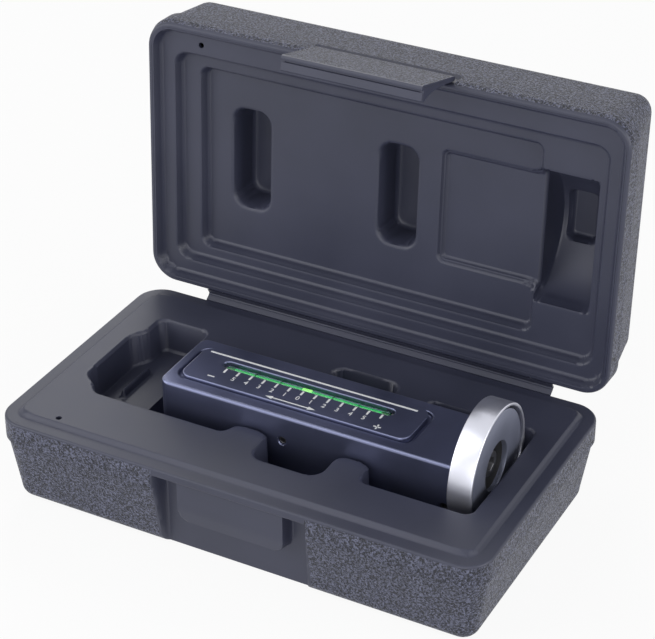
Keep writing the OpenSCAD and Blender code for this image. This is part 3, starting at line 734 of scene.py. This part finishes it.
def leaf_strip(side):
    """One leaf in the closed place, as three lengths: side is 1 on the lid and -1 on the base."""
    up = hinge_z - rim_z
    inner, outer = side * hinge_gap, side * (hinge_gap + leaf_t)
    section = [(case_w / 2, inner), (hinge_y - 0.15, up + inner), (hinge_y, up + inner + side * 0.15),
               (hinge_y, up + outer - side * 0.3), (hinge_y - 0.25, up + outer - side * 0.05),
               (case_w / 2, outer)]
    pinched = section[:3] + [(y, z - side * seam_pinch) for y, z in section[3:]]
    stations = [(hinge_x0, section)]
    for seam in seams:
        stations += [(seam - seam_w, section), (seam, pinched), (seam + seam_w, section)]
    stations.append((hinge_x1, section))
    return loft([np.array([(x, y, rim_z + z) for y, z in points]) for x, points in stations])


form_piece("base_leaf", leaf_strip(-1), "case", smooth, 35, "base_hinge_leaf")
form_piece("lid_leaf", leaf_strip(1), "lid", smooth, 35, "lid_hinge_leaf", opened)


def circle(x, y, z, radius, count):
    """Points of a circle round an axis that runs along x."""
    angles = np.arange(count) * 2 * math.pi / count
    return np.stack([np.full(count, x), y + radius * np.cos(angles), z + radius * np.sin(angles)], axis=1)


bead_stations = (
    (hinge_x0, bead_end_r), (hinge_x0 + 0.2, bead_r), (hinge_x1 - 0.2, bead_r), (hinge_x1, bead_end_r))
bead = loft([circle(x, hinge_y, hinge_z, r, 16) for x, r in bead_stations])
form_piece("hinge_bead", bead, "case", smooth)

# ---------- latch flap ----------
# A plate of the case's own plastic that hangs on the lid's rim, grained outside. It has a rounded lip at its
# end, a hook set back behind the lip, and a web at each side, and stands a little off its hanging place.
latch_joint = next(j for j in frame["joints"] if j["name"] == "latch_hinge")
flap_w = 58.0
flap_t = 2.0
flap_l = 28.1
hook_l = 6.2
hook_t = 2.6
hook_back = 1.0
web_t = 1.5
web_top = 8.5
web_step = 0.3
flap_splay = math.radians(12.6)
half_t = flap_t / 2
hook_y = hook_l - half_t
root_y = half_t + 0.8
lip_z = hook_back - flap_l
hook_z = hook_t - flap_l


def along_x(section, x0, x1):
    """A closed form with one (y, z) section from x0 to x1."""
    return loft([np.array([(x, y, z) for y, z in section]) for x in (x0, x1)])


def merged(parts):
    """Several closed forms as one list of vertices and faces."""
    vertices, faces, at = [], [], 0
    for part_vertices, part_faces in parts:
        vertices.append(part_vertices)
        faces += [tuple(v + at for v in face) for face in part_faces]
        at += len(part_vertices)
    return np.concatenate(vertices), faces


flap_section = [(half_t * math.cos(a), half_t * math.sin(a)) for a in np.linspace(0, math.pi, 9)]
flap_section += [(-half_t, 0.7 - flap_l), (0.2 - half_t, 0.2 - flap_l), (0.7 - half_t, -flap_l)]
flap_section += [(half_t - 0.6, -flap_l), (half_t - 0.15, 0.2 - flap_l), (half_t, 0.6 - flap_l)]
flap_section += [(half_t + 0.1, lip_z + 0.5), (half_t + 0.5, lip_z + 0.5), (root_y, lip_z)]
flap_section += [(hook_y - 0.4, lip_z), (hook_y, lip_z + 0.4), (hook_y, hook_z - 0.4), (hook_y - 0.3, hook_z)]
flap_section += [(root_y, hook_z), (half_t + 0.2, hook_z + 0.2), (half_t, hook_z + 0.8)]
web_section = [(0, lip_z + 0.2), (hook_y - 0.2, lip_z + 0.2), (hook_y, lip_z + 0.6)]
for u in np.linspace(0, 1, 9):
    v = 1 - u
    web_section.append((v * v * hook_y + 2 * u * v * root_y + u * u * half_t,
                        v * v * hook_z + 2 * u * v * (hook_z + 3) - u * u * web_top))
web_section.append((0, -web_top))
flap_half = flap_w / 2
flap_mesh = new_mesh("latch_plate", *merged([
    along_x(flap_section, web_step - flap_half, flap_half - web_step),
    along_x(web_section, -flap_half, web_t - flap_half), along_x(web_section, flap_half - web_t, flap_half)]))
for polygon in flap_mesh.polygons:
    is_outside = polygon.normal.y < -0.9 and polygon.center.y * 1000 < 0.1 - half_t
    polygon.material_index = 1 if is_outside else 0
flap_mesh.transform(Matrix.Translation(Vector(latch_joint["pos_m"])) @ opened.to_3x3().to_4x4()
                    @ Matrix.Rotation(-flap_splay, 4, "X"))
new_piece("latch_plate", flap_mesh, "latch", [smooth, grain], 40, "latch_flap")

# ---------- gauge housing, end block and foot plate ----------
# An extruded aluminium box in satin navy enamel. The block in its end takes the magnet's screw, and the plate
# in its foot covers the carriers.
flat_area = 8.0
bevel_angle = math.radians(35)


def softened_piece(node, name, edge, body, material, segments=3):
    """A construction solid with its edges rounded, in its place. Its large faces are shaded flat."""
    solid = added(name, frame["nodes"][node].data.copy())
    solid.data.materials.clear()
    bm = bmesh.new()
    bm.from_mesh(solid.data)
    bmesh.ops.remove_doubles(bm, verts=bm.verts, dist=2e-6)
    bmesh.ops.dissolve_limit(bm, angle_limit=math.radians(1), verts=bm.verts, edges=bm.edges)
    bm.to_mesh(solid.data)
    bm.free()
    bevel = solid.modifiers.new("bevel", "BEVEL")
    bevel.width = edge * 0.001
    bevel.segments = segments
    bevel.limit_method = "ANGLE"
    bevel.angle_limit = bevel_angle
    bevel.use_clamp_overlap = False
    bevel.miter_outer = "MITER_ARC"
    mesh = final_mesh(solid)
    mesh.name = name
    new_piece(name, mesh, body, [material], 40, node)
    mesh.polygons.foreach_set("use_smooth", [face.area * 1e6 < flat_area for face in mesh.polygons])


enamel = shaded("navy_enamel", (0.14, 0.155, 0.26), 0.34, 0.85, Coat_Weight=0.6, Coat_Roughness=0.15)
cloud = pattern(enamel, "noise", 45, detail=3.0)
tinted(enamel, ranged(enamel, cloud, 0.3, 0.7), (0.13, 0.145, 0.24), (0.15, 0.165, 0.28))
roughened(enamel, cloud, 0.32, 0.38)
bumped(enamel, pattern(enamel, "noise", 2200, detail=1.0), 0.005)
softened_piece("gauge_housing", "housing_box", 0.6, "gauge", enamel)
softened_piece("gauge_foot_plate", "foot_cover", 0.2, "gauge", enamel)

sawn_metal = shaded("sawn_metal", (0.5, 0.5, 0.52), 0.45, 1.0)
bumped(sawn_metal, pattern(sawn_metal, "noise", 300, stretch=(0.15, 1, 6), detail=2.0), 0.02)
roughened(sawn_metal, pattern(sawn_metal, "noise", 60), 0.38, 0.52)
softened_piece("end_block", "end_block_metal", 0.2, "gauge", sawn_metal)

# ---------- magnet cup, ring magnet and pole ring ----------
# Turned on the gauge's axis, with fine lathe marks: a steel cup with a satin wall and a thin bright lip, the
# dark ring magnet glued in it, and a ground ring over the magnet, set back from the lip.
magnet_low, magnet_high = (to_mm(c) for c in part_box("magnet_cup"))
cup_r = (magnet_high[2] - magnet_low[2]) / 2
axis_y = (magnet_high[1] + magnet_low[1]) / 2
turn_z = (magnet_high[2] + magnet_low[2]) / 2


def closed_loop(rings):
    """Vertices and faces of a form whose last ring lies on its first."""
    vertices, faces = loft(rings, caps=False)
    last = len(vertices) - len(rings[0])
    return vertices[:last], [tuple(v - last if v >= last else v for v in face) for face in faces]


def turned(profile, around=128):
    """A closed ring turned about the magnet's axis from (radius, x) points."""
    return closed_loop([circle(x, axis_y, turn_z, radius, around) for radius, x in profile + profile[:1]])


def rounded_corner(corner, before, after, r, steps=4):
    """Points that round a profile's square corner by r."""
    c, b, a = (np.array(p, float) for p in (corner, before, after))
    to_b = (b - c) / np.linalg.norm(b - c)
    to_a = (a - c) / np.linalg.norm(a - c)
    middle = c + (to_b + to_a) * r
    return [tuple(middle - to_a * r * math.cos(u) - to_b * r * math.sin(u))
            for u in np.linspace(0, math.pi / 2, steps + 1)]


def rounded_profile(corners, edges):
    """A closed profile whose corners are each rounded by their own edge."""
    points = []
    for i, corner in enumerate(corners):
        points += rounded_corner(corner, corners[i - 1], corners[(i + 1) % len(corners)], edges[i])
    return points


def ring_profile(inner_r, outer_r, x0, x1, edge):
    return rounded_profile([(inner_r, x0), (outer_r, x0), (outer_r, x1), (inner_r, x1)], [edge] * 4)


def turned_metal(name, color, roughness, metallic, marks_mm):
    """Satin metal with lathe marks: fine grit, and faint rings about the axis along x."""
    material = shaded(name, color, roughness, metallic)
    bumped(material, pattern(material, "noise", 3200, detail=2.0), marks_mm)
    bumped(material, pattern(material, "noise", 500, stretch=(5, 0.15, 0.15), detail=2.0), marks_mm * 0.25)
    roughened(material, pattern(material, "noise", 90), roughness - 0.04, roughness + 0.05)
    return material


turned_steel = turned_metal("turned_steel", (0.66, 0.67, 0.75), 0.34, 0.96, 0.004)
ground_steel = turned_metal("ground_steel", (0.21, 0.225, 0.30), 0.42, 0.65, 0.006)
ferrite = turned_metal("ferrite", (0.03, 0.03, 0.033), 0.6, 0.0, 0.01)
cup_t, cup_floor, magnet_t, face_in, hole_r, screw_r = 1.4, 2.0, 4.6, 0.8, 9.6, 2.7
lip_edge, seat_edge, ring_edge = 0.45, 0.15, 0.3
cup_x1 = body_x1 + cup_l
well_r = cup_r - cup_t
magnet_x = body_x1 + cup_floor
cup_profile = rounded_profile(
    [(screw_r, body_x1), (cup_r, body_x1), (cup_r, cup_x1), (well_r, cup_x1), (well_r, magnet_x),
     (screw_r, magnet_x)],
    [seat_edge, lip_edge, lip_edge, lip_edge, seat_edge, seat_edge])
magnet_profile = ring_profile(hole_r + 0.6, well_r - 0.3, magnet_x, magnet_x + magnet_t, ring_edge)
pole_profile = ring_profile(hole_r, well_r - 1.0, magnet_x + magnet_t, cup_x1 - face_in, ring_edge)
for node, profile, slot, metal in (
        ("magnet_cup", cup_profile, "turned_steel", turned_steel),
        ("ring_magnet", magnet_profile, "magnet_dark", ferrite),
        ("pole_ring", pole_profile, "pole_steel", ground_steel)):
    form_piece(node + "_turned", turned(profile), "gauge", metal, 40, node)

# ---------- screws and washer ----------
# Blackened socket screws: the large one holds the magnet's cup to the end block over a washer, and the small
# ones hold the block, the foot plate, the second carrier and the vial carrier's pivot.
black_steel = turned_metal("black_steel", (0.10, 0.10, 0.11), 0.4, 0.85, 0.008)
bright_steel = turned_metal("bright_steel", (0.55, 0.56, 0.58), 0.33, 0.95, 0.008)
washer = turned(ring_profile(screw_r, 5.6, magnet_x, magnet_x + 1.2, 0.2), 64)
form_piece("washer_turned", washer, "gauge", bright_steel, 40, "spring_washer")
for node, name, body, edge, metal in (
        ("centre_screw", "centre_socket_screw", "gauge", 0.3, black_steel),
        ("end_block_screws", "block_set_screws", "gauge", 0.15, black_steel),
        ("foot_plate_screws", "foot_set_screws", "gauge", 0.12, black_steel),
        ("caster_carrier_screws", "carrier_screws", "gauge", 0.12, bright_steel),
        ("carrier_pivot_screw", "pivot_set_screw", "zero_screw", 0.15, black_steel)):
    softened_piece(node, name, edge, body, metal, 2)

# ---------- scale plates ----------
# Two enamelled plates with a long sight slot: the camber plate stands proud of the housing's top, the caster
# plate lies flush in its back. Their marks are printed in white.
for node in ("camber_plate", "caster_plate"):
    softened_piece(node, node + "_enamelled", 0.4, "gauge", enamel)

# ---------- scale marks ----------
# White print on both plates: a line beside the slot, thirteen ticks, plain numbers, and a minus, a plus and a
# two-way arrow for the directions. Each is a very thin raised film.
print_t = 0.05
tick_count = 13
tick_pitch = 5.54
tick_w = 0.8
digit_share = 0.72

white_print = shaded("white_print", (0.78, 0.79, 0.80), 0.55)
print_wear = pattern(white_print, "noise", 900, detail=2.0)
tinted(white_print, ranged(white_print, print_wear, 0.25, 0.45), (0.72, 0.73, 0.75), (0.90, 0.91, 0.92))
bumped(white_print, print_wear, 0.01)


def tick_tree():
    """Geometry nodes: a row of equal ticks, Count of them, Pitch apart, from Start."""
    tree = bpy.data.node_groups.new("tick_row", "GeometryNodeTree")
    for label, kind in (("Count", "Int"), ("Pitch", "Vector"), ("Start", "Vector"), ("Tick", "Vector"),
                        ("Print", "Material")):
        tree.interface.new_socket(label, in_out="INPUT", socket_type="NodeSocket" + kind)
    tree.interface.new_socket("Geometry", in_out="OUTPUT", socket_type="NodeSocketGeometry")
    given = tree.nodes.new("NodeGroupInput")
    result = tree.nodes.new("NodeGroupOutput")
    row = tree.nodes.new("GeometryNodeMeshLine")
    tick = tree.nodes.new("GeometryNodeMeshCube")
    placed = tree.nodes.new("GeometryNodeInstanceOnPoints")
    real = tree.nodes.new("GeometryNodeRealizeInstances")
    painted = tree.nodes.new("GeometryNodeSetMaterial")
    for source, output, target, socket in (
            (given, "Count", row, "Count"), (given, "Pitch", row, "Offset"),
            (given, "Start", row, "Start Location"), (given, "Tick", tick, "Size"),
            (row, "Mesh", placed, "Points"), (tick, "Mesh", placed, "Instance"),
            (placed, "Instances", real, "Geometry"), (real, "Geometry", painted, "Geometry"),
            (given, "Print", painted, "Material"), (painted, "Geometry", result, "Geometry")):
        tree.links.new(source.outputs[output], target.inputs[socket])
    return tree


tick_row = tick_tree()


def row_of_ticks(length, y):
    """Mesh of the row of ticks on a plate's own plane, in mm."""
    holder = added("ticks", bpy.data.meshes.new("ticks"))
    row = holder.modifiers.new("row", "NODES")
    row.node_group = tick_row
    start = (-tick_pitch * (tick_count - 1) / 2, y, print_t / 2)
    values = {"Count": tick_count, "Pitch": (tick_pitch, 0, 0), "Start": start,
              "Tick": (tick_w, length, print_t), "Print": white_print}
    for item in tick_row.interface.items_tree:
        if item.in_out == "INPUT":
            row[item.identifier] = values[item.name]
    return final_mesh(holder)


def printed_text(text, height, x, y):
    """Mesh of a plain number, its middle at x, y, in mm."""
    curve = bpy.data.curves.new("text", "FONT")
    curve.body = text
    curve.size = height / digit_share
    curve.align_x = "CENTER"
    curve.align_y = "CENTER"
    curve.extrude = print_t / 2
    curve.resolution_u = 4
    mesh = final_mesh(added("text", curve))
    mesh.transform(Matrix.Translation((x, y, print_t / 2)))
    return mesh


def printed_shape(corners):
    """Mesh of a flat shape with those corners, in mm."""
    count = len(corners)
    faces = [tuple(range(count)), tuple(range(count, 2 * count))]
    faces += [(i, (i + 1) % count, (i + 1) % count + count, i + count) for i in range(count)]
    mesh = bpy.data.meshes.new("shape")
    mesh.from_pydata([(x, y, z) for z in (0, print_t) for x, y in corners], [], faces)
    return mesh


def printed_bar(x, y, l, w):
    return printed_shape([(x + i * l / 2, y + j * w / 2) for i, j in ((-1, -1), (1, -1), (1, 1), (-1, 1))])


def printed_tip(x, y, l, w):
    """A flat arrow tip; l is negative for one that points left."""
    return printed_shape([(x, y - w / 2), (x + l, y), (x, y + w / 2)])


def printed_scale(name, parts, place):
    """One piece of print from its parts on the plate's plane, put in place on its plate."""
    bm = bmesh.new()
    for part in parts:
        bm.from_mesh(part)
        bpy.data.meshes.remove(part)
    bmesh.ops.remove_doubles(bm, verts=bm.verts, dist=1e-4)
    bmesh.ops.recalc_face_normals(bm, faces=bm.faces)
    mesh = bpy.data.meshes.new(name)
    bm.to_mesh(mesh)
    bm.free()
    mesh.transform(place @ Matrix.Scale(0.001, 4))
    new_piece(name, mesh, "gauge", [white_print], 30)


plate_top = to_mm(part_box("camber_plate")[1])[2]
on_top = Matrix.Translation(Vector((mid_x, gauge_y, plate_top)) * 0.001)
camber_parts = [row_of_ticks(2.7, -1.25), printed_bar(-0.8, 8.25, 88.6, 0.9)]
camber_parts += [printed_text(str(abs(n)), 2.4, n * tick_pitch, -5.0) for n in range(-5, 6)]
camber_parts += [printed_bar(*bar) for bar in (
    (-36.3, -6.9, 3.0, 0.6), (34.8, -8.0, 3.0, 0.6), (34.8, -8.0, 0.6, 3.0), (-1.0, -9.0, 15, 0.55))]
camber_parts += [printed_tip(6.5, -9.0, 3.0, 2.0), printed_tip(-8.5, -9.0, -3.0, 2.0)]
printed_scale("camber_print", camber_parts, on_top)

back_low, back_high = (to_mm(c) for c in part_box("caster_plate"))
caster_z = (back_low[2] + back_high[2]) / 2
facing_back = Matrix(((-1, 0, 0, 0), (0, 0, 1, 0), (0, 1, 0, 0), (0, 0, 0, 1)))
on_back = Matrix.Translation(Vector((mid_x, back_high[1], caster_z)) * 0.001) @ facing_back
caster_parts = [row_of_ticks(2.2, -3.9), printed_bar(0, 6.3, 88.6, 0.8)]
caster_parts += [printed_text(str(abs(n)), 1.9, n / 2 * tick_pitch, -6.6) for n in range(-12, 13, 4)]
caster_parts += [printed_bar(*bar) for bar in (
    (-41.0, -4.2, 2.6, 0.5), (41.0, -4.2, 2.6, 0.5), (41.0, -4.2, 0.5, 2.6))]
printed_scale("caster_print", caster_parts, on_back)

# ---------- vials ----------
# A glass tube of green spirit under each sight slot, with plugs in its ends, dark reading rings round it and
# a bubble at its highest side. A bright green strip lies behind it in a white moulded carrier. The spirit,
# the strip and the bubble glow with painted light.
vial_glass = shaded("vial_glass", (0.80, 0.97, 0.86), 0.03, Transmission_Weight=1.0, IOR=1.45)
bumped(vial_glass, pattern(vial_glass, "noise", 120), 0.004)
# painted light: the spirit has a faint green glow, though nothing in it gives light
spirit = shaded("green_spirit", (0.01, 0.42, 0.10), 0.15, Coat_Weight=0.6, Coat_Roughness=0.04,
                Emission_Color=(0.01, 0.65, 0.16, 1), Emission_Strength=0.28)
spirit_cloud = ranged(spirit, pattern(spirit, "noise", 60), 0.3, 0.7)
tinted(spirit, spirit_cloud, (0.008, 0.36, 0.08), (0.014, 0.50, 0.13))
# painted glint: the bubble glows pale green, a painted highlight where light would catch the air in it
bubble_light = shaded("bubble_light", (0.45, 0.95, 0.30), 0.08,
                      Emission_Color=(0.35, 0.95, 0.20, 1), Emission_Strength=0.45)
painted_glint_noise = ranged(bubble_light, pattern(bubble_light, "noise", 700), 0.3, 0.7)
tinted(bubble_light, painted_glint_noise, (0.38, 0.90, 0.22), (0.55, 1.0, 0.38))


def flecked(name, color, roughness, scale, dark, light, **inputs):
    """A material of one colour with faint flecks from dark to light."""
    material = shaded(name, color, roughness, **inputs)
    tinted(material, pattern(material, "noise", scale), dark, light)
    return material


plug_plastic = flecked("plug_plastic", (0.01, 0.20, 0.06), 0.4, 400, (0.008, 0.16, 0.05), (0.012, 0.24, 0.07))
ring_paint = flecked("ring_paint", (0.004, 0.03, 0.015), 0.5, 900, (0.003, 0.02, 0.01), (0.006, 0.04, 0.02))
white_plastic = flecked("white_plastic", (0.72, 0.73, 0.72), 0.5, 90, (0.66, 0.67, 0.66), (0.78, 0.79, 0.78))
bumped(white_plastic, pattern(white_plastic, "noise", 1800), 0.01)
# painted light: the strip glows green, as if lit from behind
strip_green = flecked("strip_green", (0.02, 0.50, 0.10), 0.5, 300, (0.015, 0.44, 0.08), (0.025, 0.56, 0.12),
                      Emission_Color=(0.02, 0.6, 0.12, 1), Emission_Strength=0.15)


def rod(centre, stations, around=32):
    """A closed round form along x through (x, radius) stations."""
    return loft([circle(centre[0] + x, *centre[1:], radius, around) for x, radius in stations])


def pipe(centre, x0, x1, inner_r, outer_r, around=48):
    """A tube along x with slightly rounded ends."""
    e = min(0.12, (outer_r - inner_r) / 3)
    section = [(x0 + e, outer_r), (x1 - e, outer_r), (x1, outer_r - e), (x1, inner_r), (x0, inner_r),
               (x0, outer_r - e)]
    return closed_loop([circle(centre[0] + x, *centre[1:], r, around) for x, r in section + section[:1]])


glass_t = 0.5
plug_l = 3.0
bubble_half = 2.5
bubble_r = 0.9
fluid_edge = 0.2
ring_half = 0.16
ring_t = 0.03
flat_end = bubble_half - bubble_r
bubble_stations = [(0.004 - bubble_half, 0.08)]
bubble_stations += [(-flat_end - bubble_r * math.cos(u), bubble_r * math.sin(u))
                    for u in np.linspace(0, math.pi / 2, 7)[1:-1]]
bubble_stations += ([(x, bubble_r) for x in np.linspace(-flat_end, flat_end, 5)]
                    + [(-x, radius) for x, radius in bubble_stations[::-1]])
for scale, body, rise in (("camber", "carrier", (0, 0, 0.84)), ("caster", "gauge", (0, 0.5, 0.62))):
    low, high = (to_mm(c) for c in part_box(scale + "_vial_tube"))
    centre, half, vial_r = (low + high) / 2, (high[0] - low[0]) / 2, (high[2] - low[2]) / 2
    tube = pipe(centre, -half, half, vial_r - glass_t, vial_r)
    form_piece(scale + "_glass", tube, body, vial_glass, 40, scale + "_vial_tube")
    fluid_half = half - plug_l
    fluid_r = vial_r - glass_t - 0.04
    fluid = rod(centre, [
        (-fluid_half, fluid_r - fluid_edge), (-fluid_half + fluid_edge, fluid_r),
        (fluid_half - fluid_edge, fluid_r), (fluid_half, fluid_r - fluid_edge)])
    form_piece(scale + "_spirit", fluid, body, spirit, 40, scale + "_vial_fluid")
    rings = merged([
        pipe(centre, n * tick_pitch - ring_half, n * tick_pitch + ring_half, vial_r, vial_r + ring_t)
        for n in (-4, -2, 2, 4)])
    form_piece(scale + "_reading_rings", rings, body, ring_paint, 40)
    softened_piece(scale + "_vial_plugs", scale + "_plugs", 0.1, body, plug_plastic, 2)
    softened_piece(scale + "_backing", scale + "_strip", 0.08, body, strip_green, 2)
    softened_piece(scale + "_carrier", scale + "_vial_carrier", 0.08, body, white_plastic, 2)
    air, bubble = rod(centre + np.array(rise), bubble_stations, 24), scale + "_bubble"
    form_piece(scale + "_air", air, bubble, bubble_light, 40, bubble)
